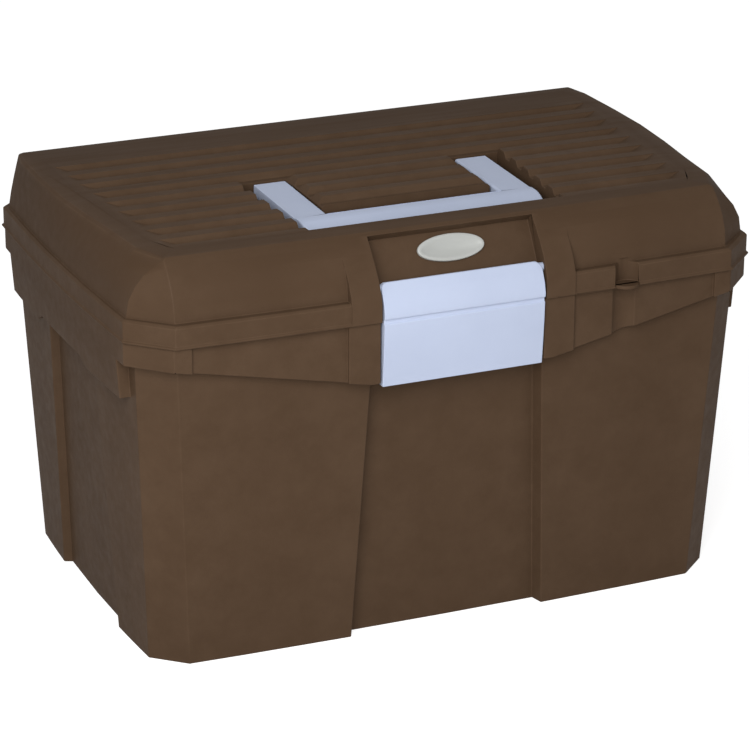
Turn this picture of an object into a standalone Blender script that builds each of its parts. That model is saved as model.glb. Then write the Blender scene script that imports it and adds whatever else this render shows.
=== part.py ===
"""A plastic tack box for grooming kit: a tapered bin, a ribbed lid on two rear hinges,
a fold-down carrying handle, a front latch, an oval badge and a lift-out tray.

Metres, +Z up, the front is at -Y. The origin is at the middle of the underside.
"""

import math

import bmesh
import bpy
from mathutils import Matrix, Vector

# Fits and walls
seat_gap = 0.0003
swing_gap = 0.0005
bin_wall = 0.0026
bin_floor = 0.003
lid_wall = 0.0028
tray_wall = 0.0022

# Whole box: over the lid's lip, over the lifting tab and the hinges, up to the split, and the lid over it
overall_length = 0.4
overall_depth = 0.2796
split_height = 0.2012
lid_rise = 0.0468
crown_height = split_height + lid_rise
rim_top = split_height - seat_gap

# Corners and bows of the walls
side_bow = 0.0034
front_bow = 0.0034
bin_chamfer = (0.0223, 0.0205)
rim_chamfer = (0.0252, 0.026)
band_chamfer = (0.0263, 0.026)
dome_chamfer = (0.0247, 0.0231)
ridge_chamfer_front = (0.0190, 0.0060)
ridge_chamfer_back = (0.0054, 0.0012)

# Lip and band at the foot of the lid
tab_reach = 0.0033
lip_height = 0.0015
lip_overhang = 0.0009
lip_edge = 0.0004
band_height = 0.0134
band_round = 0.0013
lip_half_length = overall_length / 2
lip_half_depth = overall_depth / 2 - tab_reach
band_half_length = lip_half_length - lip_overhang
band_half_depth = lip_half_depth - lip_overhang
lip_top = split_height + lip_height
band_top = split_height + band_height

# Dome of the lid, from the band up to the crown
dome_step_side = 0.0039
dome_step_front = 0.0062
ridge_drop = 0.0020
shoulder_side = 0.0061
shoulder_front = 0.0168
shoulder_back = 0.0218
crown_round_drop = 0.0008
crown_round_width = 0.0020
crown_edge = 0.012
dome_half_length = lip_half_length - dome_step_side
dome_half_depth = lip_half_depth - dome_step_front
ridge_height = crown_height - ridge_drop
ridge_half_length = dome_half_length - shoulder_side
ridge_front = dome_half_depth - shoulder_front
ridge_back = dome_half_depth - shoulder_back
side_stations = (-1.0, -0.81, -0.49, -0.16, 0.16, 0.5, 0.85, 1.0)
ridge_swell = (0.0182, 0.0095, 0.0065, 0.0025, 0.0, 0.0, 0.0012, 0.0046)
dome_rings = (0.0, 0.3, 0.55, 0.75, 0.9, 1.0)

# Rim round the top of the bin
rim_step_side = 0.0012
rim_step_front = 0.0020
rim_wall_side = 0.0036
rim_wall_front = 0.0042
rim_depth = 0.0126
skirt_taper = 0.0022
rim_half_length = lip_half_length - rim_step_side
rim_half_depth = lip_half_depth - rim_step_front
skirt_foot_half_length = rim_half_length - skirt_taper
rim_inner_half_length = rim_half_length - rim_wall_side
rim_inner_half_depth = rim_half_depth - rim_wall_front
ledge_height = rim_top - rim_depth

# Front latch, its bay and its pivot
latch_half = 0.0500
latch_side_clear = 0.0012
latch_bay_depth = 0.017
latch_bay_wall = 0.0019
latch_stub_radius = 0.0025
latch_stub_reach = 0.003
latch_skin = 0.003
latch_side_depth = 0.006
latch_drop = 0.0393
latch_head_rise = 0.0214
latch_corner = 0.0045
latch_pivot_in = 0.008
latch_pivot_rise = 0.0175
latch_hollow_in = 0.0185
latch_hollow_rise = 0.0148
latch_bay_half = latch_half + latch_side_clear
latch_pivot = (-lip_half_depth + latch_pivot_in, split_height + latch_pivot_rise)
latch_low = split_height - latch_drop
latch_high = split_height + latch_head_rise

# The latch's front face, as (distance in from the lip, height over the split), from its head to its foot
latch_bow = (
    (0.0073, latch_head_rise),
    (0.0035, 0.0163),
    (0.0007, 0.0103),
    (-0.0007, 0.0045),
    (-0.0005, 0.0020),
    (0.0009, 0.0013),
    (0.0009, -0.0005),
    (-0.0001, -0.0012),
    (0.0003, -0.0120),
    (0.0013, -0.0262),
    (0.0025, -latch_drop),
)
latch_profile = [(-lip_half_depth + inwards, split_height + rise) for inwards, rise in latch_bow]

# Catch lip on the bin, and the latch's hook under it
catch_half = 0.040
catch_setback = 0.005
catch_drop = 0.0272
catch_height = 0.0035
catch_ramp = 0.006
hook_height = 0.003
hook_drop = 0.0015
hook_root = 0.002
catch_front = -rim_half_depth + catch_setback
catch_low = split_height - catch_drop
catch_high = catch_low + catch_height

# Bin walls. The drafts run down from the rim, and the sunk panels widen downwards from it
bin_step_side = 0.00645
bin_step_front = 0.00613
bin_side_draft = 0.043
bin_front_draft = 0.058
centre_panel_top_half = 0.052
centre_panel_depth = 0.0084
centre_panel_taper = 0.0478
end_panel_top_half = 0.0389
end_panel_depth = 0.0048
end_panel_taper = 0.06
panel_edge_slope = 0.002
foot_width = 0.010
foot_height = 0.0015
bin_half_length = rim_half_length - bin_step_side - bin_side_draft * split_height
bin_half_depth = rim_half_depth - bin_step_front - bin_front_draft * split_height
centre_panel_half = centre_panel_top_half + centre_panel_taper * split_height
end_panel_half = end_panel_top_half + end_panel_taper * split_height

# Skirts that hang from the rim
apron_drop = 0.0372
apron_corner_drop = 0.014
apron_panel_setback = 0.0022
apron_foot = 0.006
pilaster_width = 0.0193
corner_post = 0.0358
side_skirt_drop = 0.0377
side_skirt_middle_drop = 0.0327
side_skirt_margin = 0.037
side_skirt_step_in = 0.034
side_skirt_step_out = 0.044
skirt_reach = 0.048
apron_low = split_height - apron_drop
apron_corner = split_height - apron_corner_drop
pilaster_outer = latch_bay_half + pilaster_width
corner_post_inner = rim_half_length - corner_post
side_skirt_low = split_height - side_skirt_drop
side_skirt_middle = split_height - side_skirt_middle_drop
side_skirt_half = rim_half_depth - side_skirt_margin

# Locating tongue and roof inside the lid
tongue_depth = 0.0036
tongue_thickness = 0.0016
tongue_gap = 0.008
roof_spare = 0.001
tongue_low = split_height - tongue_depth

# Ribbed top
groove_count = 9
groove_depth = 0.0034
groove_slope = 0.003
groove_ramp = 0.010
groove_over = 0.0012
rib_width = 0.0075
groove_margin_back = 0.0403
groove_margin_front = 0.0325
groove_margin_side = 0.0155
groove_splay = 0.012
groove_first = ridge_back - groove_margin_back
groove_pitch = (groove_first + ridge_front - groove_margin_front) / (groove_count - 1)
groove_width = groove_pitch - rib_width
groove_half_back = ridge_half_length - groove_margin_side
groove_half_front = groove_half_back - groove_splay
lid_ceiling = crown_height - groove_depth - lid_wall - roof_spare

# Carrying handle, and the pocket and island that hold it
handle_half = 0.075
handle_arm_width = 0.020
handle_grip_width = 0.025
handle_grip_clear = 0.0085
handle_thickness = 0.008
handle_corner = 0.010
handle_tail = 0.0081
handle_top_rise = 0.0046
handle_slope = 0.018
handle_grip_rise = 0.0008
handle_grip_flat = 0.010
handle_grip_fall = 0.0035
handle_stub_radius = 0.003
handle_stub_sunk = 0.004
handle_pivot_in = 0.011
handle_pivot_drop = 0.0078
pocket_margin = 0.0165
pocket_length = 0.1015
pocket_depth = 0.020
pocket_wall = 0.0025
pocket_clear_back = 0.010
pocket_clear_front = 0.0045
island_length = 0.0575
island_clear = 0.0015
island_end_run = 0.004
island_end_drop = 0.004
pocket_front = -ridge_front + pocket_margin
pocket_back = pocket_front + pocket_length
pocket_floor = crown_height - pocket_depth
pocket_half_back = handle_half + pocket_clear_back
pocket_half_front = handle_half + pocket_clear_front
handle_inner = handle_half - handle_arm_width
island_half = handle_inner - island_clear
island_front = pocket_back - island_length
handle_pivot = (pocket_back - handle_pivot_in, crown_height - handle_pivot_drop)
handle_grip_front = pocket_front + handle_grip_clear

# Latch bay and badge recess in the lid
badge_half_length = 0.0208
badge_half_height = 0.008
badge_thickness = 0.0016
badge_round = 0.00064
badge_lean = 0.63
badge_in = 0.0224
badge_drop = 0.0156
bay_floor_in = 0.0140
bay_lip_drop = 0.0024
bay_head_drop = 0.007
badge_centre = (-lip_half_depth + badge_in, crown_height - badge_drop)
bay_floor = -lip_half_depth + bay_floor_in
bay_lip = (-ridge_front, crown_height - bay_lip_drop)
bay_head = crown_height - bay_head_drop

# Pilasters beside the latch, as (distance in from the lip, share of the lid's rise)
pilaster_overlap = 0.004
pilaster_profile = (
    (0.0004, 0.2735),
    (0.0020, 0.3697),
    (0.0053, 0.5085),
    (0.0115, 0.6902),
    (0.0185, 0.8504),
    (0.0237, 0.9359),
    (0.0315, 0.9359),
)

# Rear hinges
barrel_radius = 0.0038
barrel_clear = 0.0006
pin_radius = 0.0016
pin_end_gap = 0.0005
hinge_centre = 0.105
hinge_half_width = 0.020
hinge_knuckle_half = 0.0078
hinge_tongue_gap = 0.035
web_root = 0.003
web_height = 0.0129
hinge_height = split_height - seat_gap / 2
hinge_axis_y = overall_depth / 2 - barrel_radius

# Lifting tab at the front right, with a scallop over it and a finger groove under it
tab_x = 0.1035
tab_radius = 0.008
tab_thickness = 0.002
tab_gap = 0.0185
scallop_rise = 0.0156
finger_groove_radius = 0.011
finger_groove_in = 0.0063
finger_groove_wall = 0.0018
finger_groove_drop = 0.0252
tab_front = -overall_depth / 2
finger_groove_back = -rim_half_depth + finger_groove_in

# Lift-out tray
tray_side_clear = 0.0012
tray_front_clear = 0.0036
tray_flange = 0.0025
tray_flange_side = 0.0180
tray_flange_front = 0.0162
tray_depth = 0.046
tray_draft = 0.05
tray_corner = 0.020
tray_cell_corner = 0.016
tray_cell_tight = 0.0007
tray_middle_half = 0.062
tray_bay_clear = 0.006
tray_bay_wall = 0.0012
tray_half_length = rim_inner_half_length - tray_side_clear
tray_half_depth = rim_inner_half_depth - tray_front_clear
tray_body_half_length = tray_half_length - tray_flange_side
tray_body_half_depth = tray_half_depth - tray_flange_front

# How far a cutter runs past what it cuts
over = 0.02

BLUE = (0.55, 0.64, 0.86)
BROWN = (0.078, 0.047, 0.028)
BROWN_DARK = (0.060, 0.037, 0.023)
SILVER = (0.48, 0.49, 0.47)
STEEL = (0.62, 0.62, 0.63)


def clear_scene():
    for old in list(bpy.data.objects):
        bpy.data.objects.remove(old, do_unlink=True)


def make_collection(name, hidden):
    made = bpy.data.collections.new(name)
    made.hide_render = hidden
    bpy.context.scene.collection.children.link(made)
    return made


def make_material(name, colour, roughness, metallic=0.0):
    made = bpy.data.materials.new(name)
    made.use_nodes = True
    shader = made.node_tree.nodes["Principled BSDF"]
    shader.inputs["Base Color"].default_value = (*colour, 1.0)
    shader.inputs["Roughness"].default_value = roughness
    shader.inputs["Metallic"].default_value = metallic
    made.diffuse_color = (*colour, 1.0)
    return made


def add_object(name, bm, cutter=True, origin=(0.0, 0.0, 0.0)):
    """Turns bm, drawn in the box's own frame, into an object with its origin at the given point."""
    bmesh.ops.recalc_face_normals(bm, faces=bm.faces)
    bmesh.ops.translate(bm, verts=bm.verts, vec=-Vector(origin))
    mesh = bpy.data.meshes.new(name)
    bm.to_mesh(mesh)
    bm.free()
    made = bpy.data.objects.new(name, mesh)
    made.location = origin
    if cutter:
        made.hide_render = True
        made.display_type = "WIRE"
        cutters.objects.link(made)
    else:
        parts.objects.link(made)
    return made


def combine(target, other, operation):
    step = target.modifiers.new(f"{operation.lower()} {other.name}", "BOOLEAN")
    step.operation = operation
    step.solver = "EXACT"
    step.object = other


def cut(target, *others):
    for other in others:
        combine(target, other, "DIFFERENCE")


def join(target, *others):
    for other in others:
        combine(target, other, "UNION")


def box(name, low, high):
    bm = bmesh.new()
    size = [b - a for a, b in zip(low, high)]
    middle = [(a + b) / 2 for a, b in zip(low, high)]
    bmesh.ops.create_cube(bm, size=1.0, matrix=Matrix.Translation(middle) @ Matrix.Diagonal((*size, 1)))
    return add_object(name, bm)


def bar_x(name, radius, start, end, y, z, sides=24):
    """A round bar along X."""
    bm = bmesh.new()
    place = Matrix.Translation(((start + end) / 2, y, z)) @ Matrix.Rotation(math.pi / 2, 4, "Y")
    bmesh.ops.create_cone(
        bm, cap_ends=True, segments=sides, radius1=radius, radius2=radius, depth=end - start, matrix=place
    )
    return add_object(name, bm)


def post_z(name, radius, x, y, low, high, sides=24):
    """A round bar that stands up."""
    bm = bmesh.new()
    place = Matrix.Translation((x, y, (low + high) / 2))
    bmesh.ops.create_cone(
        bm, cap_ends=True, segments=sides, radius1=radius, radius2=radius, depth=high - low, matrix=place
    )
    return add_object(name, bm)


def slab_x(name, outline, start, end, cutter=True, origin=(0.0, 0.0, 0.0)):
    """An outline of (y, z) points, pushed along X from start to end."""
    bm = bmesh.new()
    face = bm.faces.new([bm.verts.new((start, y, z)) for y, z in outline])
    pushed = bmesh.ops.extrude_face_region(bm, geom=[face])["geom"]
    moved = [item for item in pushed if isinstance(item, bmesh.types.BMVert)]
    bmesh.ops.translate(bm, verts=moved, vec=(end - start, 0, 0))
    return add_object(name, bm, cutter, origin)


def slab_y(name, outline, start, end):
    """An outline of (x, z) points, pushed along Y from start to end."""
    bm = bmesh.new()
    face = bm.faces.new([bm.verts.new((x, start, z)) for x, z in outline])
    pushed = bmesh.ops.extrude_face_region(bm, geom=[face])["geom"]
    moved = [item for item in pushed if isinstance(item, bmesh.types.BMVert)]
    bmesh.ops.translate(bm, verts=moved, vec=(0, end - start, 0))
    return add_object(name, bm)


def slab_z(name, outline, low, high, cutter=True, origin=(0.0, 0.0, 0.0)):
    """An outline of (x, y) points, pushed up from low to high."""
    bm = bmesh.new()
    face = bm.faces.new([bm.verts.new((x, y, low)) for x, y in outline])
    pushed = bmesh.ops.extrude_face_region(bm, geom=[face])["geom"]
    moved = [item for item in pushed if isinstance(item, bmesh.types.BMVert)]
    bmesh.ops.translate(bm, verts=moved, vec=(0, 0, high - low))
    return add_object(name, bm, cutter, origin)


def stations(half, recess):
    """(place, inset) pairs along one wall, from -half to half, with a recess in the middle."""
    edge, depth = recess
    block = [(-half + (half - edge) * i / 3, 0.0) for i in range(4)]
    floor_edge = edge - panel_edge_slope
    floor = [(-floor_edge, depth), (0.0, depth), (floor_edge, depth)]
    return block + floor + [(-place, inset) for place, inset in reversed(block)]


def ring(z, half_length, half_depth, chamfer, front_recess=None, back_recess=None, end_recess=None):
    """One level outline of the bin: four bowed walls with a flat at each corner.

    Each wall swells by its bow at its middle, and a recess is (half its width, its depth).
    """
    points = []
    half = half_length - chamfer[0]
    for x, inset in stations(half, front_recess or (half / 3, 0.0)):
        points.append(Vector((x, -half_depth + front_bow * (x / half) ** 2 + inset, z)))
    reach = half_depth - chamfer[1]
    side = []
    for y, inset in stations(reach, end_recess or (reach / 3, 0.0)):
        side.append((half_length - side_bow * (y / reach) ** 2 - inset, y))
    points += [Vector((x, y, z)) for x, y in side]
    for x, inset in stations(half, back_recess or (half / 3, 0.0)):
        points.append(Vector((-x, half_depth - front_bow * (x / half) ** 2 - inset, z)))
    points += [Vector((-x, y, z)) for x, y in reversed(side)]
    return points


def loft(name, rings, cutter=True):
    """A closed solid through rings of equally many points, from the lowest ring to the highest."""
    bm = bmesh.new()
    rows = [[bm.verts.new(point) for point in points] for points in rings]
    for lower, upper in zip(rows, rows[1:]):
        for i in range(len(lower)):
            j = (i + 1) % len(lower)
            bm.faces.new((lower[i], lower[j], upper[j], upper[i]))
    bm.faces.new(list(reversed(rows[0])))
    bm.faces.new(rows[-1])
    return add_object(name, bm, cutter)


def bin_ring(z, inset=0.0):
    """The bin's own outline at a height, moved inwards by inset."""
    return ring(
        z,
        bin_half_length + bin_side_draft * z - inset,
        bin_half_depth + bin_front_draft * z - inset,
        bin_chamfer,
        front_recess=(centre_panel_half - centre_panel_taper * z + inset, centre_panel_depth),
        back_recess=(centre_panel_half - centre_panel_taper * z + inset, centre_panel_depth),
        end_recess=(end_panel_half - end_panel_taper * z + inset, end_panel_depth),
    )


def make_bin(material):
    """The tapered bin: an open tub with a thickened rim, a tray ledge and a latch bay."""
    above = rim_top + over / 5
    outside = lip_half_depth + over
    below = apron_low - over
    shell = loft("base_bin", [bin_ring(0.0), bin_ring(split_height / 2), bin_ring(above)], cutter=False)

    bay = (latch_bay_half, latch_bay_depth)
    collar_foot = apron_low - apron_foot
    widest = apron_corner + apron_foot / 4
    collar_rows = ((collar_foot, skirt_foot_half_length), (widest, rim_half_length), (above, rim_half_length))
    collar = loft(
        "cut_collar",
        [ring(z, half_length, rim_half_depth, rim_chamfer, front_recess=bay) for z, half_length in collar_rows],
    )
    for side in (-1, 1):
        name = "left" if side < 0 else "right"
        apron = slab_y(
            f"cut_apron_{name}",
            [
                (side * (latch_bay_half - apron_foot / 3), below),
                (side * (latch_bay_half - apron_foot / 3), apron_low),
                (side * (latch_bay_half + apron_foot), apron_low),
                (side * (rim_half_length - rim_chamfer[0] - seat_gap * 3), apron_corner),
                (side * (lip_half_length + over), apron_corner),
                (side * (lip_half_length + over), below),
            ],
            -outside,
            -side_skirt_half,
        )
        skirt = slab_x(
            f"cut_skirt_{name}",
            [
                (-side_skirt_half, below),
                (-side_skirt_half, side_skirt_low),
                (-side_skirt_step_out, side_skirt_low),
                (-side_skirt_step_in, side_skirt_middle),
                (side_skirt_step_in, side_skirt_middle),
                (side_skirt_step_out, side_skirt_low),
                (side_skirt_half, side_skirt_low),
                (side_skirt_half, apron_corner),
                (outside, apron_corner),
                (outside, below),
            ],
            side * (rim_half_length - skirt_reach),
            side * (lip_half_length + over),
        )
        crease = rim_half_length - rim_chamfer[0]
        runs = [pilaster_outer + (corner_post_inner - pilaster_outer) * i / 3 for i in range(4)]
        face = [(side * x, apron_panel_setback - rim_half_depth + front_bow * (x / crease) ** 2) for x in runs]
        outline = [(side * pilaster_outer, -outside), *face, (side * corner_post_inner, -outside)]
        panel = slab_z(f"cut_apron_panel_{name}", outline, below, split_height + over)
        cut(collar, apron, skirt, panel)
    back = rim_half_length - skirt_reach * 0.8
    cut(collar, box("cut_back_apron", (-back, side_skirt_half, below), (back, outside, apron_corner)))
    join(shell, collar)

    bay_back = rim_half_depth - latch_bay_depth
    rim_inner = dict(
        front_recess=(latch_bay_half + bin_wall * 1.5, rim_inner_half_depth - bay_back + latch_bay_wall),
        end_recess=(end_panel_half - end_panel_taper * ledge_height + bin_wall, 0.0),
    )
    cavity = loft(
        "cut_bin_cavity",
        [
            bin_ring(bin_floor, bin_wall),
            bin_ring(ledge_height, bin_wall),
            ring(ledge_height, rim_inner_half_length, rim_inner_half_depth, rim_chamfer, **rim_inner),
            ring(above + over / 2, rim_inner_half_length, rim_inner_half_depth, rim_chamfer, **rim_inner),
        ],
    )
    cut(shell, cavity)

    # The latch snaps over this lip at the back of the latch bay.
    root = -bay_back + latch_bay_wall / 4
    catch = [(root, catch_low - catch_ramp), (catch_front, catch_low), (catch_front, catch_high), (root, catch_high)]
    join(shell, slab_x("join_catch", catch, -catch_half, catch_half))

    for side in (-1, 1):
        name = "left" if side < 0 else "right"
        for near, far in (
            (hinge_knuckle_half + seat_gap, hinge_half_width),
            (-hinge_half_width, -hinge_knuckle_half - seat_gap),
        ):
            start = side * hinge_centre + near
            end = side * hinge_centre + far
            web = [
                (rim_half_depth - web_root, rim_top - web_height),
                (rim_half_depth - web_root, rim_top - web_height / 10),
                (hinge_axis_y, hinge_height - barrel_radius / 4.5),
                (hinge_axis_y + barrel_radius * 0.6, hinge_height - barrel_radius / 2),
            ]
            join(shell, slab_x(f"join_bin_web_{name}", web, start, end))
            barrels["base"].append((f"join_bin_barrel_{name}", start, end))

    groove_y = finger_groove_back - finger_groove_radius
    boss = post_z(
        "join_groove_boss",
        finger_groove_radius + finger_groove_wall,
        tab_x,
        groove_y,
        split_height - finger_groove_drop,
        above - over / 20,
        sides=40,
    )
    boss_half = finger_groove_radius * 2.2
    boss_face = -rim_half_depth + finger_groove_in - seat_gap * 4
    cut(boss, box("cut_groove_boss", (tab_x - boss_half, -outside, below), (tab_x + boss_half, boss_face, above + over)))
    join(shell, boss)
    wide = lip_half_length + over
    cut(shell, box("cut_rim_level", (-wide, -outside, rim_top), (wide, outside, above + over)))
    for name, start, end in barrels["base"]:
        join(shell, bar_x(name, barrel_radius, start, end, hinge_axis_y, hinge_height))
    for side in (-1, 1):
        middle = side * hinge_centre
        reach = hinge_knuckle_half + seat_gap
        room = barrel_radius + barrel_clear
        hole = hinge_half_width + over / 20
        cut(
            shell,
            bar_x("cut_bin_knuckle_room", room, middle - reach, middle + reach, hinge_axis_y, hinge_height),
            bar_x("cut_bin_pin_hole", pin_radius + seat_gap, middle - hole, middle + hole, hinge_axis_y, hinge_height),
        )

    cut(shell, post_z("cut_finger_groove", finger_groove_radius, tab_x, groove_y, below, above + over, sides=40))
    lower = ring(
        -over / 20,
        bin_half_length - foot_width,
        bin_half_depth - foot_width,
        bin_chamfer,
        front_recess=(centre_panel_half + foot_width, centre_panel_depth),
        back_recess=(centre_panel_half + foot_width, centre_panel_depth),
        end_recess=(end_panel_half + foot_width, end_panel_depth),
    )
    upper = [Vector((point.x, point.y, foot_height)) for point in lower]
    cut(shell, loft("cut_underside", [lower, upper]))
    shell.data.materials.append(material)
    return shell


def lid_ring(z, half_length, front, back, front_chamfer, back_chamfer, swell, bow=(front_bow, front_bow)):
    """One level outline of the lid. Each side runs through side_stations, drawn in by swell."""
    low = front_chamfer[1] - front
    high = back - back_chamfer[1]
    middle = (low + high) / 2
    half = []
    for step in range(4):
        x = (half_length - front_chamfer[0]) * step / 3
        half.append((x, -front + bow[0] * (step / 3) ** 2))
    for share, inset in zip(side_stations, swell):
        half.append((half_length - inset, middle + share * (high - low) / 2))
    for step in (3, 2, 1, 0):
        x = (half_length - back_chamfer[0]) * step / 3
        half.append((x, back - bow[1] * (step / 3) ** 2))
    mirrored = [(-x, y) for x, y in reversed(half[1:-1])]
    return [Vector((x, y, z)) for x, y in half + mirrored]


def plain_lid_ring(z, half_length, half_depth, chamfer):
    swell = [side_bow * share**2 for share in side_stations]
    return lid_ring(z, half_length, half_depth, half_depth, chamfer, chamfer, swell)


def dome_height(share):
    return band_top + (ridge_height - band_top) * share


def dome_ring(share):
    """The lid's outline between the band (share 0) and the ridge (share 1).

    The front is well rounded in profile, and the sides less and less so towards the back.
    """
    z = dome_height(share)
    foot_swell = [side_bow * station**2 for station in side_stations]
    foot = lid_ring(z, dome_half_length, dome_half_depth, dome_half_depth, dome_chamfer, dome_chamfer, foot_swell)
    ridge = lid_ring(
        z,
        ridge_half_length,
        ridge_front,
        ridge_back,
        ridge_chamfer_front,
        ridge_chamfer_back,
        ridge_swell,
        bow=(front_bow, 0.0),
    )
    corner = dome_half_depth - dome_chamfer[1]
    points = []
    for low, high in zip(foot, ridge):
        bend = 1.7 - 0.5 * max(-1.0, min(1.0, low.y / corner))
        points.append(low.lerp(high, share**bend))
    return points


def shrink(points, inset, z):
    """The same outline drawn in by about inset on every side, at another height."""
    wide = max(point.x for point in points)
    deep = max(abs(point.y) for point in points)
    return [Vector((point.x * (1 - inset / wide), point.y * (1 - inset / deep), z)) for point in points]


def pocket_outline(grow):
    """The handle's pocket seen from above: a U round the island, open to nothing."""
    back = pocket_back + grow
    front = pocket_front - grow
    outer_back = pocket_half_back + grow
    outer_front = pocket_half_front + grow
    inner = island_half - grow
    island = island_front + grow
    return [
        (-outer_back, back),
        (-outer_front, front),
        (outer_front, front),
        (outer_back, back),
        (inner, back),
        (inner, island),
        (-inner, island),
        (-inner, back),
    ]


def bay_outline(grow):
    """The latch bay and badge recess in the lid, as (y, z) points, with its walls moved in by grow."""
    slant = math.hypot(1.0, badge_lean)
    foot = bay_floor + grow
    lean_foot = badge_centre[1] + (foot - badge_centre[0] - grow * slant) / badge_lean
    head_y = badge_centre[0] + badge_lean * (bay_head - badge_centre[1]) + grow * slant
    outside = -lip_half_depth - over
    below = split_height - over
    above = crown_height + over
    return [
        (outside, below),
        (foot, below),
        (foot, lean_foot),
        (head_y, bay_head),
        (bay_lip[0] + grow, bay_lip[1] + grow),
        (bay_lip[0] + grow, above),
        (outside, above),
    ]


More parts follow.
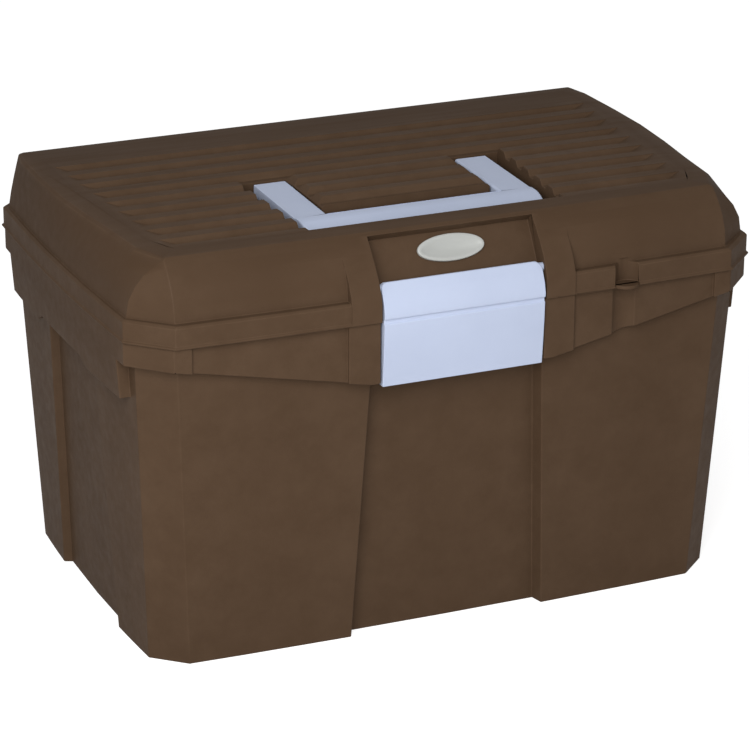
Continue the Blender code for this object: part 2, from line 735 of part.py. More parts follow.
def make_lid(material):
    """The lid: a thin domed shell with a band, a locating tongue, ribs, the pocket and the bay."""
    outside = lip_half_depth + over
    above = crown_height + over
    band = [
        plain_lid_ring(split_height, lip_half_length - lip_edge, lip_half_depth - lip_edge, band_chamfer),
        plain_lid_ring(split_height + lip_edge, lip_half_length, lip_half_depth, band_chamfer),
        plain_lid_ring(lip_top - lip_edge, lip_half_length, lip_half_depth, band_chamfer),
        plain_lid_ring(lip_top + lip_edge, band_half_length, band_half_depth, band_chamfer),
        plain_lid_ring(band_top - band_round, band_half_length, band_half_depth, band_chamfer),
        plain_lid_ring(band_top, band_half_length - band_round, band_half_depth - band_round, band_chamfer),
    ]
    dome = [dome_ring(share) for share in dome_rings]
    crown = [
        shrink(dome[-1], crown_round_width, crown_height - crown_round_drop),
        shrink(dome[-1], crown_edge, crown_height),
    ]
    lid = loft("lid", [*band, *dome, *crown], cutter=False)

    tongue_outer = dict(
        half_length=rim_inner_half_length - swing_gap,
        half_depth=rim_inner_half_depth - swing_gap,
        chamfer=rim_chamfer,
    )
    tongue = loft(
        "join_tongue", [plain_lid_ring(z, **tongue_outer) for z in (tongue_low, split_height + lip_height * 1.3)]
    )
    below = tongue_low - over / 2
    higher = split_height + over / 2
    inside = rim_inner_half_depth - over
    at_latch = latch_bay_half + tongue_gap
    at_hinges = hinge_centre + hinge_half_width + hinge_tongue_gap
    cut(
        tongue,
        box("cut_tongue_at_latch", (-at_latch, -outside, below), (at_latch, -inside, higher)),
        box("cut_tongue_at_groove", (tab_x - tab_gap, -outside, below), (tab_x + tab_gap, -inside, split_height)),
        box("cut_tongue_at_hinges", (-at_hinges, inside, below), (at_hinges, outside, higher)),
    )
    join(lid, tongue)

    for side in (-1, 1):
        name = "left" if side < 0 else "right"
        foot = split_height + seat_gap * 2
        face = [(-lip_half_depth + inwards, split_height + lid_rise * share) for inwards, share in pilaster_profile]
        pilaster = [(face[-1][0], foot), (face[0][0], foot), *face]
        near = latch_bay_half - pilaster_overlap
        far = pilaster_outer - pilaster_overlap / 4
        join(lid, slab_x(f"join_pilaster_{name}", pilaster, side * near, side * far))
        middle = side * hinge_centre
        web = [
            (lip_half_depth - web_root * 2, band_top - band_round),
            (lip_half_depth - web_root * 2, split_height + lip_height * 0.8),
            (hinge_axis_y, hinge_height + barrel_radius / 5),
            (hinge_axis_y + barrel_radius * 0.6, hinge_height + barrel_radius / 2),
            (lip_half_depth - seat_gap, band_top - band_round),
        ]
        join(lid, slab_x(f"join_lid_web_{name}", web, middle - hinge_knuckle_half, middle + hinge_knuckle_half))

    # The tab is what a finger pushes up to lift the lid.
    scallop = (tab_x, -lip_half_depth, split_height - over / 5, split_height + scallop_rise)
    cut(lid, post_z("cut_scallop", tab_radius, *scallop, sides=32))
    tab_y = tab_front + tab_radius
    join(lid, post_z("join_tab", tab_radius, tab_x, tab_y, split_height, split_height + tab_thickness, sides=32))

    clear = dict(
        half_length=rim_inner_half_length - swing_gap - tongue_thickness,
        half_depth=rim_inner_half_depth - swing_gap - tongue_thickness,
        chamfer=rim_chamfer,
    )
    low_share = 0.05
    middle_share = 0.45
    high_share = (lid_ceiling - band_top) / (ridge_height - band_top)
    hollow = loft(
        "cut_lid_hollow",
        [
            plain_lid_ring(below, **clear),
            plain_lid_ring(band_top - band_round, **clear),
            shrink(dome_ring(low_share), lid_wall * 1.15, dome_height(low_share)),
            shrink(dome_ring(middle_share), lid_wall * 1.3, dome_height(middle_share)),
            shrink(dome_ring(high_share), lid_wall * 1.9, lid_ceiling),
        ],
    )
    reach = latch_bay_half + lid_wall
    cut(
        hollow,
        slab_x("cut_hollow_bay", bay_outline(lid_wall), -reach, reach),
        slab_z("cut_hollow_pocket", pocket_outline(pocket_wall), pocket_floor - pocket_wall, above),
    )
    cut(lid, hollow)

    for row in range(groove_count):
        share = row / (groove_count - 1)
        back = groove_first - row * groove_pitch
        front = back - groove_width
        half = groove_half_back + (groove_half_front - groove_half_back) * share
        cut(lid, groove(f"cut_groove_{row + 1}", half, front, back))
    cut(
        lid,
        slab_z("cut_pocket", pocket_outline(0.0), pocket_floor, above),
        slab_x("cut_bay", bay_outline(0.0), -latch_bay_half, latch_bay_half),
    )

    for side in (-1, 1):
        name = "left" if side < 0 else "right"
        outer = island_half + island_clear / 2
        slope = [
            (side * (island_half - island_end_run), crown_height),
            (side * outer, crown_height - island_end_drop * (1 + island_clear / 2 / island_end_run)),
            (side * outer, above),
            (side * (island_half - island_end_run), above),
        ]
        cut(lid, slab_y(f"cut_island_end_{name}", slope, island_front - over / 20, pocket_back))
        middle = side * hinge_centre
        for near, far in (
            (hinge_knuckle_half, hinge_half_width + seat_gap),
            (-hinge_half_width - seat_gap, -hinge_knuckle_half),
        ):
            room = barrel_radius + barrel_clear
            cut(lid, bar_x("cut_lid_knuckle_room", room, middle + near, middle + far, hinge_axis_y, hinge_height))
        knuckle = (middle - hinge_knuckle_half, middle + hinge_knuckle_half)
        join(lid, bar_x(f"join_lid_barrel_{name}", barrel_radius, *knuckle, hinge_axis_y, hinge_height))
        hole = hinge_knuckle_half + over / 20
        latch_socket = (side * (latch_bay_half - over / 20), side * (latch_bay_half + latch_stub_reach + seat_gap))
        handle_socket = (side * (island_half + over / 20), side * (island_half - pocket_wall - over / 20))
        cut(
            lid,
            bar_x("cut_lid_pin_hole", pin_radius + seat_gap, middle - hole, middle + hole, hinge_axis_y, hinge_height),
            bar_x("cut_latch_socket", latch_stub_radius + seat_gap, *sorted(latch_socket), *latch_pivot),
            bar_x("cut_handle_socket", handle_stub_radius + seat_gap, *sorted(handle_socket), *handle_pivot),
        )
    lid.data.materials.append(material)
    return lid


def groove(name, half, front, back):
    """One groove between two ribs, with sloping sides and ends that ramp up to the smooth edge."""
    floor = crown_height - groove_depth
    rise = groove_over / groove_depth
    bm = bmesh.new()
    bmesh.ops.create_cube(bm, size=2.0)
    for vert in bm.verts:
        if vert.co.z > 0:
            x = half + groove_ramp * rise
            y_front = front - groove_slope * rise
            y_back = back + groove_slope * rise
            z = crown_height + groove_over
        else:
            x = half - groove_ramp
            y_front = front + groove_slope
            y_back = back - groove_slope
            z = floor
        vert.co = (math.copysign(x, vert.co.x), y_back if vert.co.y > 0 else y_front, z)
    return add_object(name, bm)


def rounded_corner(x, y, radius, start, end, steps=5):
    """Points on an arc about (x, y), from the start angle to the end angle in degrees."""
    angles = [math.radians(start + (end - start) * i / steps) for i in range(steps + 1)]
    return [(x + radius * math.cos(a), y + radius * math.sin(a)) for a in angles]


def make_handle(material):
    """The U-shaped carrying handle, lying in its pocket, with two stubs that turn in the island."""
    pivot_y, pivot_z = handle_pivot
    tail = pivot_y + handle_tail
    grip_back = handle_grip_front + handle_grip_width

    def arm_top(y):
        return pivot_z + handle_top_rise + (y - pivot_y) * handle_slope

    # The grip stands a little over the arms at its back and falls away towards its front.
    crest = arm_top(grip_back) + handle_grip_rise
    brow = crest - handle_grip_fall
    grip = [
        (handle_grip_front, arm_top(handle_grip_front) - handle_thickness),
        (grip_back, arm_top(grip_back) - handle_thickness),
        (grip_back, crest - handle_grip_rise),
        (grip_back - handle_grip_rise * 1.5, crest),
        (grip_back - handle_grip_flat, crest),
        (handle_grip_front, brow),
    ]
    wide = handle_half + over
    origin = (0.0, pivot_y, pivot_z)
    handle = slab_x("carry_handle", grip, -wide, wide, cutter=False, origin=origin)
    left = -handle_half + handle_corner
    low = handle_grip_front + handle_corner
    outline = rounded_corner(left, low, handle_corner, 180, 270)
    outline += rounded_corner(-left, low, handle_corner, 270, 360)
    outline += [(handle_half, tail + over), (-handle_half, tail + over)]
    combine(handle, slab_z("keep_handle_outline", outline, pivot_z - over, pivot_z + over), "INTERSECT")
    for side in (-1, 1):
        name = "left" if side < 0 else "right"
        lap = grip_back - handle_grip_flat / 2
        arm = [
            (lap, arm_top(lap) - handle_thickness * 0.9),
            (lap, arm_top(lap)),
            (tail, arm_top(tail)),
            (tail, arm_top(tail) - handle_thickness),
            (grip_back, arm_top(grip_back) - handle_thickness),
        ]
        join(handle, slab_x(f"join_arm_{name}", arm, *sorted((side * handle_inner, side * handle_half))))
        ends = sorted((side * (handle_inner + handle_stub_sunk), side * (island_half - pocket_wall)))
        join(handle, bar_x(f"join_handle_stub_{name}", handle_stub_radius, *ends, pivot_y, pivot_z))
    handle.data.materials.append(material)
    return handle


def inward(profile, depth):
    """The profile moved back by depth, square to its own run, for the inner face of a skin."""
    moved = []
    for i, (y, z) in enumerate(profile):
        before = profile[max(i - 1, 0)]
        after = profile[min(i + 1, len(profile) - 1)]
        run = Vector((after[0] - before[0], after[1] - before[1])).normalized()
        moved.append((y - run.y * depth, z + run.x * depth))
    return moved


def make_latch(material):
    """The latch: one bowed plate with side walls, two stubs to turn on and a hook at its foot."""
    origin = (0.0, *latch_pivot)
    pivot_y, pivot_z = latch_pivot
    boss = latch_stub_radius
    smooth = [latch_profile[i] for i in (0, 1, 3, 4, 7, 8, 9, 10)]
    wall = [(y + latch_side_depth, z) for y, z in reversed(smooth[2:])]
    rear = [
        (pivot_y + boss * 1.2, pivot_z - boss * 2.4),
        (pivot_y + boss * 1.44, pivot_z),
        (pivot_y + boss * 0.32, pivot_z + boss * 1.44),
    ]
    outline = [*latch_profile, *wall, *rear]
    latch = slab_x("latch", outline, -latch_half, latch_half, cutter=False, origin=origin)
    inside = inward(smooth, latch_skin)
    deep = -lip_half_depth + latch_hollow_in
    below = latch_low - over / 10
    hollow = [*inside[1:-1], (inside[-1][0], below), (deep, below), (deep, split_height + latch_hollow_rise)]
    cut(latch, slab_x("cut_latch_back", hollow, -latch_half + latch_skin, latch_half - latch_skin))
    root = -lip_half_depth + hook_root
    tip = catch_front - seat_gap
    hook_top = catch_low - hook_drop
    hook = [
        (root, hook_top - hook_height * 2),
        (root, hook_top + hook_height / 3),
        (tip, hook_top),
        (tip, hook_top - hook_height),
    ]
    join(latch, slab_x("join_hook", hook, -catch_half, catch_half))
    for side in (-1, 1):
        name = "left" if side < 0 else "right"
        centre_x = side * (latch_half - latch_corner)
        centre_z = latch_high - latch_corner
        turns = [math.radians(18 * step) for step in range(6)]
        arc = [(centre_x + side * latch_corner * math.cos(a), centre_z + latch_corner * math.sin(a)) for a in turns]
        beyond = (side * (latch_half + over), latch_high + over)
        corner = [*arc, (arc[-1][0], beyond[1]), beyond, (beyond[0], arc[0][1])]
        cut(latch, slab_y(f"cut_latch_corner_{name}", corner, latch_profile[0][0] - over, pivot_y + boss * 2))
        ends = sorted((side * (latch_half - latch_skin * 0.7), side * (latch_bay_half + latch_stub_reach)))
        join(latch, bar_x(f"join_latch_stub_{name}", latch_stub_radius, *ends, pivot_y, pivot_z))
    latch.data.materials.append(material)
    return latch


def make_badge(material):
    """The plain oval badge, stuck on the leaning floor of the recess above the latch."""
    bm = bmesh.new()
    bmesh.ops.create_cone(bm, cap_ends=True, segments=40, radius1=1, radius2=1, depth=1)
    rim = [edge for edge in bm.edges if all(vert.co.z > 0 for vert in edge.verts)]
    bmesh.ops.scale(bm, vec=(badge_half_length, badge_half_height, badge_thickness), verts=bm.verts)
    bmesh.ops.bevel(bm, geom=rim, offset=badge_round, segments=2, profile=0.5, affect="EDGES")
    lean = math.atan2(1.0, badge_lean)
    facing = Matrix.Rotation(lean, 4, "X")
    out = facing @ Vector((0, 0, 1))
    centre = Vector((0, *badge_centre)) + out * (badge_thickness / 2 + seat_gap)
    bmesh.ops.transform(bm, matrix=Matrix.Translation(centre) @ facing, verts=bm.verts)
    badge = add_object("badge", bm, cutter=False)
    badge.data.materials.append(material)
    return badge


def make_pin(name, middle, material):
    bm = bmesh.new()
    length = 2 * (hinge_half_width - pin_end_gap)
    place = Matrix.Translation((middle, hinge_axis_y, hinge_height)) @ Matrix.Rotation(math.pi / 2, 4, "Y")
    bmesh.ops.create_cone(
        bm, cap_ends=True, segments=20, radius1=pin_radius, radius2=pin_radius, depth=length, matrix=place
    )
    pin = add_object(name, bm, cutter=False)
    pin.data.materials.append(material)
    return pin


def eight_sided(name, low, high, corner, cutter=True):
    """A block between two level outlines, each (least x, greatest x, least y, greatest y, z), with cut corners."""
    bm = bmesh.new()
    rows = []
    for x0, x1, y0, y1, z in (low, high):
        outline = [
            (x0 + corner, y0),
            (x1 - corner, y0),
            (x1, y0 + corner),
            (x1, y1 - corner),
            (x1 - corner, y1),
            (x0 + corner, y1),
            (x0, y1 - corner),
            (x0, y0 + corner),
        ]
        rows.append([bm.verts.new((x, y, z)) for x, y in outline])
    for i in range(8):
        bm.faces.new((rows[0][i], rows[0][i - 7], rows[1][i - 7], rows[1][i]))
    bm.faces.new(list(reversed(rows[0])))
    bm.faces.new(rows[1])
    return add_object(name, bm, cutter)


def make_tray(material):
    """The lift-out tray: a flange that rests on the ledge and a body with moulded compartments."""
    flange_low = ledge_height + seat_gap
    flange_high = flange_low + tray_flange
    floor = flange_high - tray_depth
    narrow = tray_depth * tray_draft
    long = tray_body_half_length
    deep = tray_body_half_depth
    tray = eight_sided(
        "lift_out_tray",
        (narrow - long, long - narrow, narrow - deep, deep - narrow, floor),
        (-long, long, -deep, deep, flange_high - tray_flange / 5),
        tray_corner,
        cutter=False,
    )
    bay = (latch_bay_half + tray_bay_clear, tray_half_depth - tray_body_half_depth - tray_bay_wall)
    flange = loft(
        "join_tray_flange",
        [ring(z, tray_half_length, tray_half_depth, rim_chamfer, front_recess=bay) for z in (flange_low, flange_high)],
    )
    join(tray, flange)
    end = long - tray_wall - narrow
    across = deep - tray_wall - narrow
    web = tray_wall / 2
    columns = (
        (-end, -tray_middle_half - web, True),
        (web - tray_middle_half, tray_middle_half - web, False),
        (tray_middle_half + web, end, True),
    )
    for x0, x1, divided in columns:
        rows = [(-across, -web), (web, across)] if divided else [(-across, across)]
        for y0, y1 in rows:
            t = tray_cell_tight
            cell = eight_sided(
                "cut_compartment",
                (x0 + t, x1 - t, y0 + t, y1 - t, floor + tray_wall),
                (x0, x1, y0, y1, flange_high + over / 10),
                tray_cell_corner,
            )
            cut(tray, cell)
    tray.data.materials.append(material)
    return tray


clear_scene()
parts = make_collection("tack_box", hidden=False)
cutters = make_collection("cutters", hidden=True)
barrels = {"base": []}
brown = make_material("brown polypropylene", BROWN, 0.42)
dark = make_material("brown polypropylene, tray", BROWN_DARK, 0.45)
blue = make_material("blue polypropylene", BLUE, 0.40)
silver = make_material("silver plastic", SILVER, 0.35)
steel = make_material("steel", STEEL, 0.30, 1.0)

make_bin(brown)
make_lid(brown)
make_handle(blue)
make_latch(blue)
make_badge(silver)
make_pin("hinge_pin_left", -hinge_centre, steel)
make_pin("hinge_pin_right", hinge_centre, steel)
make_tray(dark)
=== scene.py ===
"""A plastic tack box with a ribbed lid, a blue carrying handle and a blue latch."""

import math

import bmesh
import bpy
from mathutils import Matrix, Vector
from mathutils.bvhtree import BVHTree


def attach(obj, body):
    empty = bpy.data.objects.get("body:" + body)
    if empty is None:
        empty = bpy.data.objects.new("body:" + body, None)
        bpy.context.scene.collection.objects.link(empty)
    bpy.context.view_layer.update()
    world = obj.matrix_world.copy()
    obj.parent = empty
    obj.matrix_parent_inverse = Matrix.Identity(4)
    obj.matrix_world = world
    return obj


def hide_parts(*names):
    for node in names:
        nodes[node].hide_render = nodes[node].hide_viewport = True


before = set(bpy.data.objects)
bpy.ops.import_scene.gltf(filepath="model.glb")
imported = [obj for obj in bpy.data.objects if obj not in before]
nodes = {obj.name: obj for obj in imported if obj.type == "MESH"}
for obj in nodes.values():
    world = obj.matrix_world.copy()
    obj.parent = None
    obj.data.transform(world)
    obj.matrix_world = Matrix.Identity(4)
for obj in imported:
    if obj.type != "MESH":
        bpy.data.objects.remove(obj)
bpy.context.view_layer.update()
scene = bpy.context.scene

# The camera stands to the front left of the box and a little above it, as a catalogue
# photographer would, with a long lens. Aside, above and away give its place from the
# origin, in millimetres along the camera's own right, up and backward directions.
azimuth = math.radians(-23.31)
elevation = math.radians(21.15)
roll = math.radians(0.20)
aside, above, away = 3.1, 106.3, 2090.7
backward = Vector(
    (
        math.sin(azimuth) * math.cos(elevation),
        -math.cos(azimuth) * math.cos(elevation),
        math.sin(elevation),
    )
)
level = Vector((0, 0, 1)).cross(backward).normalized()
upright = backward.cross(level)
right = math.cos(roll) * level + math.sin(roll) * upright
up = math.cos(roll) * upright - math.sin(roll) * level
camera = bpy.data.objects.new("camera", bpy.data.cameras.new("camera"))
camera.location = (right * aside + up * above + backward * away) / 1000
camera.rotation_euler = Matrix((right, up, backward)).transposed().to_euler()
camera.data.lens = 161.24
camera.data.sensor_width = 36
camera.data.clip_start = 0.05
scene.collection.objects.link(camera)
scene.camera = camera


# The bin is one large moulding in brown polypropylene: a tapered tub with sunk panels, a
# thickened rim with skirts, a bay for the latch and two hinge knuckles at the back. The mould
# leaves every edge a little round, and a fine spark-eroded grain all over.
weld = 0.00001
sharp_angle = math.radians(25)
shading_angle = math.radians(38)
tight_angle = math.radians(40)
tight_rounding = 0.00012
rounding_steps = 3
too_short = 1e-9
# A rounding takes no more than these shares of its own edge and of the edges that meet it.
share_of_own = 0.6
share_of_next = 0.45
least_slant = 0.3
straight_on = -0.9
# A point may stand off the solid by this share of the rounding before it is put back.
share_off_solid = 0.5


def middle_of(edge):
    return (edge.verts[0].co + edge.verts[1].co) / 2


def plain_mesh(thing):
    """The mesh that an object has once its modifiers have worked."""
    return bpy.data.meshes.new_from_object(
        thing.evaluated_get(bpy.context.evaluated_depsgraph_get())
    )


def rounded_copy(node, radius, choose=None, flat=0.6):
    """The node's form with its edges rounded, and the rounded places marked as "edge".

    Choose gives an edge its own rounding, up to radius. Faces that lean less than flat degrees
    are made one. A point that lands too far off the solid, or outside its box, is put on it.
    """
    mesh = nodes[node].data.copy()
    mesh.name = node + "_moulding"
    work = bmesh.new()
    work.from_mesh(mesh)
    bmesh.ops.remove_doubles(work, verts=work.verts, dist=weld)
    level_out = dict(verts=work.verts, edges=work.edges, delimit={"NORMAL"})
    bmesh.ops.dissolve_limit(work, angle_limit=math.radians(flat), **level_out)
    solid = BVHTree.FromBMesh(work)
    weight = work.edges.layers.float.new("bevel_weight_edge")
    folded = (edge for edge in work.edges if len(edge.link_faces) == 2)
    sharp = {edge for edge in folded if edge.calc_face_angle(0) > sharp_angle}
    cramped = set()
    for vert in work.verts:
        ends = (edge.other_vert(vert) for edge in vert.link_edges if edge in sharp)
        runs = [(end.co - vert.co).normalized() for end in ends]
        for i, one in enumerate(runs):
            if any(one.angle(other, 9) < tight_angle for other in runs[:i]):
                cramped.add(vert)
    for edge in sharp:
        wanted = choose(edge) if choose else radius
        room = min(wanted, edge.calc_length() * share_of_own)
        for vert in edge.verts:
            along = (edge.other_vert(vert).co - vert.co).normalized()
            for other in vert.link_edges:
                run = other.other_vert(vert).co - vert.co
                if other is edge or run.length < too_short:
                    continue
                turn = run.normalized().dot(along)
                if turn < straight_on and other in sharp:
                    continue
                across = math.sqrt(max(0, 1 - turn * turn))
                slant = across if turn > 0 else max(least_slant, across)
                room = min(room, run.length * share_of_next * slant)
            if vert in cramped:
                room = min(room, tight_rounding)
        edge[weight] = room / radius
    work.to_mesh(mesh)
    work.free()
    blank = bpy.data.materials.new("blank")
    mesh.materials.clear()
    mesh.materials.append(blank)
    mesh.materials.append(blank)
    made = bpy.data.objects.new(node + "_moulding", mesh)
    scene.collection.objects.link(made)
    for face in mesh.polygons:
        face.material_index = 0
    bevel = made.modifiers.new("rounding", "BEVEL")
    bevel.limit_method = "WEIGHT"
    bevel.width = radius
    bevel.segments = rounding_steps
    bevel.use_clamp_overlap = False
    bevel.material = 1
    done = plain_mesh(made)
    low, high = (
        [pick(vert.co[side] for vert in mesh.vertices) for side in range(3)] for pick in (min, max)
    )
    for vert in done.vertices:
        spot, _, _, distance = solid.find_nearest(vert.co)
        outside = any(not low[side] <= vert.co[side] <= high[side] for side in range(3))
        if outside or distance > radius * share_off_solid:
            vert.co = spot
    share = [[0, 0] for _ in done.vertices]
    for face in done.polygons:
        face.use_smooth = True
        for index in face.vertices:
            share[index][0] += face.material_index
            share[index][1] += 1
        face.material_index = 0
    near = done.attributes.new("edge", "FLOAT", "POINT")
    for index, (hits, faces) in enumerate(share):
        near.data[index].value = hits / max(faces, 1)
    done.set_sharp_from_angle(angle=shading_angle)
    made.modifiers.clear()
    made.data = done
    shading = made.modifiers.new("shading", "WEIGHTED_NORMAL")
    shading.keep_sharp = True
    finished = plain_mesh(made)
    made.modifiers.clear()
    made.data = finished
    finished.materials.clear()
    return made


# Moulded skin gives a moulding its slight differences in colour, a painted highlight along its
# rounded edges, the fine grain and the faint scuffs that handling leaves. It reads the "edge"
# attribute.
skin = bpy.data.node_groups.new("moulded skin", "ShaderNodeTree")
for name, kind, value in (
    ("Colour", "NodeSocketColor", (0.1, 0.1, 0.1, 1)),
    ("Edge Highlight Colour", "NodeSocketColor", (0.2, 0.2, 0.2, 1)),
    ("Roughness", "NodeSocketFloat", 0.45),
    ("Grain Size", "NodeSocketFloat", 0.0007),
    ("Highlight Strength", "NodeSocketFloat", 0.5),
):
    socket = skin.interface.new_socket(name, in_out="INPUT", socket_type=kind)
    socket.default_value = value
for name, kind in (
    ("Colour", "NodeSocketColor"),
    ("Roughness", "NodeSocketFloat"),
    ("Height", "NodeSocketFloat"),
):
    skin.interface.new_socket(name, in_out="OUTPUT", socket_type=kind)


def place_node(tree, kind, label, **settings):
    made = tree.nodes.new(kind)
    made.label = label
    for key, value in settings.items():
        if key.startswith("in_"):
            made.inputs[key[3:].replace("_", " ")].default_value = value
        else:
            setattr(made, key, value)
    return made


def wire(tree, source, output, target, socket):
    tree.links.new(source.outputs[output], target.inputs[socket])


entry = skin.nodes.new("NodeGroupInput")
leave = skin.nodes.new("NodeGroupOutput")
here = place_node(skin, "ShaderNodeTexCoord", "on the piece")
flow = place_node(
    skin, "ShaderNodeTexNoise", "flow of the melt", in_Scale=9.0, in_Detail=3.0, in_Roughness=0.5
)
wire(skin, here, "Object", flow, "Vector")
tone = place_node(skin, "ShaderNodeMapRange", "light and dark")
for socket, value in (("From Min", 0.3), ("From Max", 0.7), ("To Min", 0.96), ("To Max", 1.04)):
    tone.inputs[socket].default_value = value
wire(skin, flow, "Fac", tone, "Value")
tinted = place_node(skin, "ShaderNodeVectorMath", "tinted", operation="SCALE")
wire(skin, entry, "Colour", tinted, 0)
wire(skin, tone, "Result", tinted, "Scale")

specks = place_node(
    skin, "ShaderNodeTexNoise", "stronger and weaker highlight", in_Scale=45.0, in_Detail=5.0, in_Roughness=0.7
)
wire(skin, here, "Object", specks, "Vector")
patches = place_node(skin, "ShaderNodeMapRange", "patches")
for socket, value in (("From Min", 0.35), ("From Max", 0.68), ("To Min", 0.25), ("To Max", 1.0)):
    patches.inputs[socket].default_value = value
wire(skin, specks, "Fac", patches, "Value")
# The rounded edges are painted lighter, in patches, as a painted highlight where the rounding
# catches the light; the same mask also makes them a little smoother.
edge = place_node(skin, "ShaderNodeAttribute", "rounded edges", attribute_name="edge")
highlit_edges = place_node(skin, "ShaderNodeMath", "painted edge highlight", operation="MULTIPLY")
wire(skin, edge, "Fac", highlit_edges, 0)
wire(skin, patches, "Result", highlit_edges, 1)
painted_highlight = place_node(skin, "ShaderNodeMath", "highlight amount", operation="MULTIPLY")
wire(skin, highlit_edges, "Value", painted_highlight, 0)
wire(skin, entry, "Highlight Strength", painted_highlight, 1)
colour = place_node(skin, "ShaderNodeMix", "colour with highlight", data_type="RGBA")
wire(skin, painted_highlight, "Value", colour, 0)
wire(skin, tinted, "Vector", colour, 6)
wire(skin, entry, "Edge Highlight Colour", colour, 7)
wire(skin, colour, 2, leave, "Colour")

stretch = place_node(skin, "ShaderNodeMapping", "along the wipe")
stretch.inputs["Rotation"].default_value = (0.3, 0.2, 0.5)
stretch.inputs["Scale"].default_value = (9.0, 160.0, 160.0)
wire(skin, here, "Object", stretch, "Vector")
scuffs = place_node(
    skin, "ShaderNodeTexNoise", "scuffs", in_Scale=1.0, in_Detail=3.0, in_Roughness=0.6
)
wire(skin, stretch, "Vector", scuffs, "Vector")
gloss = place_node(skin, "ShaderNodeMapRange", "matt to satin")
for socket, value in (("From Min", 0.3), ("From Max", 0.7), ("To Min", -0.05), ("To Max", 0.06)):
    gloss.inputs[socket].default_value = value
wire(skin, scuffs, "Fac", gloss, "Value")
edge_smoothing = place_node(skin, "ShaderNodeMath", "smoother on highlit edges", operation="MULTIPLY_ADD")
wire(skin, painted_highlight, "Value", edge_smoothing, 0)
edge_smoothing.inputs[1].default_value = -0.08
wire(skin, gloss, "Result", edge_smoothing, 2)
rough = place_node(skin, "ShaderNodeMath", "roughness", operation="ADD", use_clamp=True)
wire(skin, entry, "Roughness", rough, 0)
wire(skin, edge_smoothing, "Value", rough, 1)
wire(skin, rough, "Value", leave, "Roughness")

fineness = place_node(skin, "ShaderNodeMath", "grains in a metre", operation="DIVIDE")
fineness.inputs[0].default_value = 1.0
wire(skin, entry, "Grain Size", fineness, 1)
grain = place_node(skin, "ShaderNodeTexVoronoi", "spark-eroded grain", feature="SMOOTH_F1")
wire(skin, here, "Object", grain, "Vector")
wire(skin, fineness, "Value", grain, "Scale")
waves = place_node(skin, "ShaderNodeTexNoise", "sink and swell", in_Scale=60.0, in_Detail=2.0)
wire(skin, here, "Object", waves, "Vector")
relief = place_node(skin, "ShaderNodeMath", "grain over swell", operation="MULTIPLY_ADD")
wire(skin, waves, "Fac", relief, 0)
relief.inputs[1].default_value = 0.8
wire(skin, grain, "Distance", relief, 2)
wire(skin, relief, "Value", leave, "Height")


def moulded(
    name, colour, edge_highlight_colour, roughness, grain_size=0.0007, relief=0.35, highlight_strength=0.5, specular=0.3
):
    """A satin moulded plastic, with its own colour and grain, and a painted highlight in a lighter
    colour along its rounded edges.
    """
    made = bpy.data.materials.new(name)
    made.use_nodes = True
    tree = made.node_tree
    shader = tree.nodes["Principled BSDF"]
    group = place_node(tree, "ShaderNodeGroup", "moulded skin", node_tree=skin)
    group.inputs["Colour"].default_value = (*colour, 1)
    group.inputs["Edge Highlight Colour"].default_value = (*edge_highlight_colour, 1)
    group.inputs["Roughness"].default_value = roughness
    group.inputs["Grain Size"].default_value = grain_size
    group.inputs["Highlight Strength"].default_value = highlight_strength
    bump = place_node(tree, "ShaderNodeBump", "grain", in_Strength=relief, in_Distance=0.00006)
    wire(tree, group, "Height", bump, "Height")
    wire(tree, bump, "Normal", shader, "Normal")
    wire(tree, group, "Colour", shader, "Base Color")
    wire(tree, group, "Roughness", shader, "Roughness")
    shader.inputs["Specular IOR Level"].default_value = specular
    made.diffuse_color = (*colour, 1)
    return made


# The brown's lighter edge colour is a painted highlight on the rounded edges of the bin and lid.
brown = moulded(
    "brown polypropylene",
    colour=(0.076, 0.045, 0.026),
    edge_highlight_colour=(0.118, 0.074, 0.046),
    roughness=0.50,
    highlight_strength=0.6,
    specular=0.05,
)
rim_top_above = 0.1995
rim_top_rounding = 0.0003
bin_rounding = 0.0006


def bin_radius(edge):
    """The top of the rim, which the lid covers, is crisper than the edges that show."""
    return rim_top_rounding if middle_of(edge).z > rim_top_above else bin_rounding


bin_moulding = rounded_copy("base_bin", bin_rounding, choose=bin_radius)
bin_moulding.data.materials.append(brown)
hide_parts("base_bin")
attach(bin_moulding, "bin")


# The lid is a second moulding in the same brown plastic, and turns on the two hinge pins at
# the back. The long edges of the ribs on its flat top are rounder than its other edges.
rib_rounding = 0.0012
lid_rounding = 0.0005
ribs_above = 0.2437
ribs_half_length = 0.182
ribs_front, ribs_back = -0.0962, 0.072
lengthwise = 0.9


def lid_radius(edge):
    """The rounding of the ribs for an edge that runs along them, and the lid's own elsewhere."""
    middle = middle_of(edge)
    among_ribs = abs(middle.x) < ribs_half_length and ribs_front < middle.y < ribs_back
    along = abs((edge.verts[0].co - edge.verts[1].co).normalized().x)
    if among_ribs and middle.z > ribs_above and along > lengthwise:
        return rib_rounding
    return lid_rounding


lid_moulding = rounded_copy("lid", rib_rounding, choose=lid_radius)
lid_moulding.data.materials.append(brown)
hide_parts("lid")
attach(lid_moulding, "lid")

# The carrying handle is one U-shaped moulding in light blue polypropylene. It lies in the
# lid's pocket and turns on two short stubs, and its edges are round to be kind to the hand.
# The blue's lighter edge colour is a painted highlight on the rounded edges of the handle and
# latch.
blue = moulded(
    "blue polypropylene",
    colour=(0.49, 0.55, 0.71),
    edge_highlight_colour=(0.58, 0.64, 0.79),
    roughness=0.42,
    highlight_strength=0.4,
    relief=0.25,
    specular=0.2,
)
handle_rounding = 0.0016
handle_moulding = rounded_copy("carry_handle", handle_rounding, flat=0.05)
handle_moulding.data.materials.append(blue)
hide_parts("carry_handle")
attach(handle_moulding, "handle")

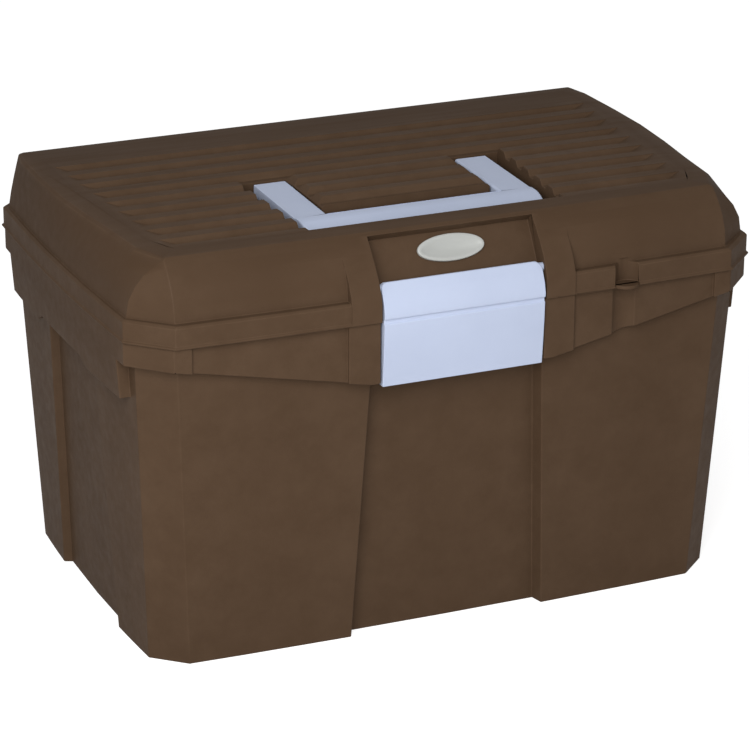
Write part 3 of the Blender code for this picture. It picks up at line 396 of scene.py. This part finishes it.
# The latch is a bowed blue plate that hangs on two stubs in its bay in the lid and snaps
# over a lip of the bin. A soft crease runs across it at the split between lid and bin.
latch_rounding = 0.0004
latch_moulding = rounded_copy("latch", latch_rounding, flat=0.05)
latch_moulding.data.materials.append(blue)
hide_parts("latch")
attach(latch_moulding, "latch")

# The badge is a bare oval plate in silver-coloured plastic, stuck on the leaning floor of
# the recess over the latch. Its rim is paler and stands a little proud of its middle.
silver = moulded(
    "silver plastic",
    colour=(0.46, 0.47, 0.45),
    edge_highlight_colour=(0.66, 0.66, 0.63),
    roughness=0.36,
    grain_size=0.0004,
    relief=0.2,
    highlight_strength=0.9,
    specular=0.5,
)
pale_silver = moulded(
    "pale silver rim",
    colour=(0.60, 0.60, 0.57),
    edge_highlight_colour=(0.70, 0.70, 0.67),
    roughness=0.32,
    grain_size=0.0004,
    relief=0.1,
    highlight_strength=0.9,
    specular=0.5,
)
badge_edge = 0.0004
badge_rim_width = 0.0011
badge_slope_width = 0.0003
badge_middle_sunk = 0.0003
badge_flat_angle = math.radians(0.5)
badge_shading_angle = math.radians(30)
work = bmesh.new()
work.from_mesh(nodes["badge"].data)
bmesh.ops.remove_doubles(work, verts=work.verts, dist=weld)
bmesh.ops.dissolve_limit(work, angle_limit=badge_flat_angle, verts=work.verts, edges=work.edges)
front = max((face for face in work.faces if face.normal.y < 0), key=lambda face: face.calc_area())
for width, depth, shade in (
    (badge_edge, 0.0, 0),
    (badge_rim_width, 0.0, 1),
    (badge_slope_width, -badge_middle_sunk, 1),
):
    ring = bmesh.ops.inset_individual(work, faces=[front], thickness=width, depth=depth)
    for face in ring["faces"]:
        face.material_index = shade
plate = bpy.data.meshes.new("badge_plate")
work.to_mesh(plate)
work.free()
for face in plate.polygons:
    face.use_smooth = True
plate.set_sharp_from_angle(angle=badge_shading_angle)
plate.materials.clear()
plate.materials.append(silver)
plate.materials.append(pale_silver)
badge_plate = bpy.data.objects.new("badge_plate", plate)
scene.collection.objects.link(badge_plate)
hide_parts("badge")
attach(badge_plate, "lid")

# The hinge pins are lengths of drawn steel rod, 3.2 mm thick, pressed through the knuckles.
steel = bpy.data.materials.new("drawn steel")
steel.use_nodes = True
tree = steel.node_tree
shader = tree.nodes["Principled BSDF"]
shader.inputs["Metallic"].default_value = 1.0
place = place_node(tree, "ShaderNodeTexCoord", "on the pin")
draw = place_node(tree, "ShaderNodeMapping", "along the rod")
draw.inputs["Scale"].default_value = (60.0, 2400.0, 2400.0)
wire(tree, place, "Object", draw, "Vector")
lines = place_node(tree, "ShaderNodeTexNoise", "drawing lines", in_Scale=1.0, in_Detail=3.0)
wire(tree, draw, "Vector", lines, "Vector")
tones = place_node(tree, "ShaderNodeValToRGB", "bright and dull")
tones.color_ramp.elements[0].color = (0.50, 0.50, 0.51, 1)
tones.color_ramp.elements[1].color = (0.70, 0.70, 0.71, 1)
wire(tree, lines, "Fac", tones, "Fac")
wire(tree, tones, "Color", shader, "Base Color")
satin = place_node(tree, "ShaderNodeMapRange", "satin")
satin.inputs["To Min"].default_value = 0.22
satin.inputs["To Max"].default_value = 0.42
wire(tree, lines, "Fac", satin, "Value")
wire(tree, satin, "Result", shader, "Roughness")
score = place_node(tree, "ShaderNodeBump", "score lines", in_Strength=0.3, in_Distance=0.00002)
wire(tree, lines, "Fac", score, "Height")
wire(tree, score, "Normal", shader, "Normal")
for name in ("hinge_pin_left", "hinge_pin_right"):
    nodes[name].data.materials.clear()
    nodes[name].data.materials.append(steel)

# The tray lifts out. It is a thinner moulding in a slightly darker brown, with five
# compartments and a flange that rests on the ledge inside the rim. Its edges are left crisp.
tray_brown = moulded(
    "dark brown polypropylene",
    colour=(0.060, 0.037, 0.023),
    edge_highlight_colour=(0.095, 0.062, 0.041),
    roughness=0.50,
    specular=0.05,
)
nodes["lift_out_tray"].data.materials.clear()
nodes["lift_out_tray"].data.materials.append(tray_brown)


# The floor is a wide sheet of white paper. To the camera it is plain white, which shows
# faintly in reflections too, and it keeps the soft shadow that the box throws on it.
def seen_directly(tree):
    """1 where the background itself is seen, a little in a reflection, 0 where it lights."""
    path = place_node(tree, "ShaderNodeLightPath", "kind of ray")
    faint = place_node(tree, "ShaderNodeMath", "fainter in a reflection", operation="MULTIPLY")
    wire(tree, path, "Is Glossy Ray", faint, 0)
    faint.inputs[1].default_value = 0.1
    glossy = place_node(tree, "ShaderNodeMath", "or in a reflection", operation="MAXIMUM")
    wire(tree, path, "Is Camera Ray", glossy, 0)
    wire(tree, faint, "Value", glossy, 1)
    clear = place_node(tree, "ShaderNodeMath", "or through glass", operation="MAXIMUM")
    wire(tree, glossy, "Value", clear, 0)
    wire(tree, path, "Is Transmission Ray", clear, 1)
    return clear


reach = 6
corners = [(-reach, -reach, 0), (reach, -reach, 0), (reach, reach, 0), (-reach, reach, 0)]
paper = bpy.data.meshes.new("floor")
paper.from_pydata(corners, [], [(0, 1, 2, 3)])
floor = bpy.data.objects.new("floor", paper)
scene.collection.objects.link(floor)
floor_paint = bpy.data.materials.new("white paper")
floor_paint.use_nodes = True
tree = floor_paint.node_tree
shader = tree.nodes["Principled BSDF"]
shader.inputs["Base Color"].default_value = (0.8, 0.8, 0.8, 1)
shader.inputs["Roughness"].default_value = 0.95
shader.inputs["Specular IOR Level"].default_value = 0.1
shader.inputs["Emission Color"].default_value = (1, 1, 1, 1)
glow = place_node(tree, "ShaderNodeMath", "plain white", operation="MULTIPLY")
glow.inputs[1].default_value = 0.70
wire(tree, seen_directly(tree), "Value", glow, 0)
wire(tree, glow, "Value", shader, "Emission Strength")
paper.materials.append(floor_paint)

# The light is plain and soft: a wide lamp over the front left, a weaker one from the
# right, and an even pale sky all round.
sky = bpy.data.worlds.new("studio")
sky.use_nodes = True
tree = sky.node_tree
lighting = tree.nodes["Background"]
lighting.inputs["Color"].default_value = (1, 1, 1, 1)
lighting.inputs["Strength"].default_value = 0.36
white = place_node(tree, "ShaderNodeBackground", "white backdrop")
white.inputs["Color"].default_value = (1, 1, 1, 1)
white.inputs["Strength"].default_value = 1.0
both = place_node(tree, "ShaderNodeMixShader", "seen or lighting")
wire(tree, seen_directly(tree), "Value", both, 0)
tree.links.new(lighting.outputs[0], both.inputs[1])
tree.links.new(white.outputs[0], both.inputs[2])
tree.links.new(both.outputs[0], tree.nodes["World Output"].inputs["Surface"])
scene.world = sky
lamps_aim = Vector((0, 0, 0.12))
for name, spot, width, power in (
    ("key lamp", (-0.60, -0.95, 0.75), 0.8, 12),
    ("fill lamp", (1.4, -1.4, 0.8), 1.2, 2),
):
    lamp = bpy.data.objects.new(name, bpy.data.lights.new(name, "AREA"))
    lamp.data.size = width
    lamp.data.energy = power
    lamp.location = spot
    lamp.rotation_euler = (Vector(spot) - lamps_aim).to_track_quat("Z", "Y").to_euler()
    scene.collection.objects.link(lamp)

scene.view_settings.view_transform = "Standard"
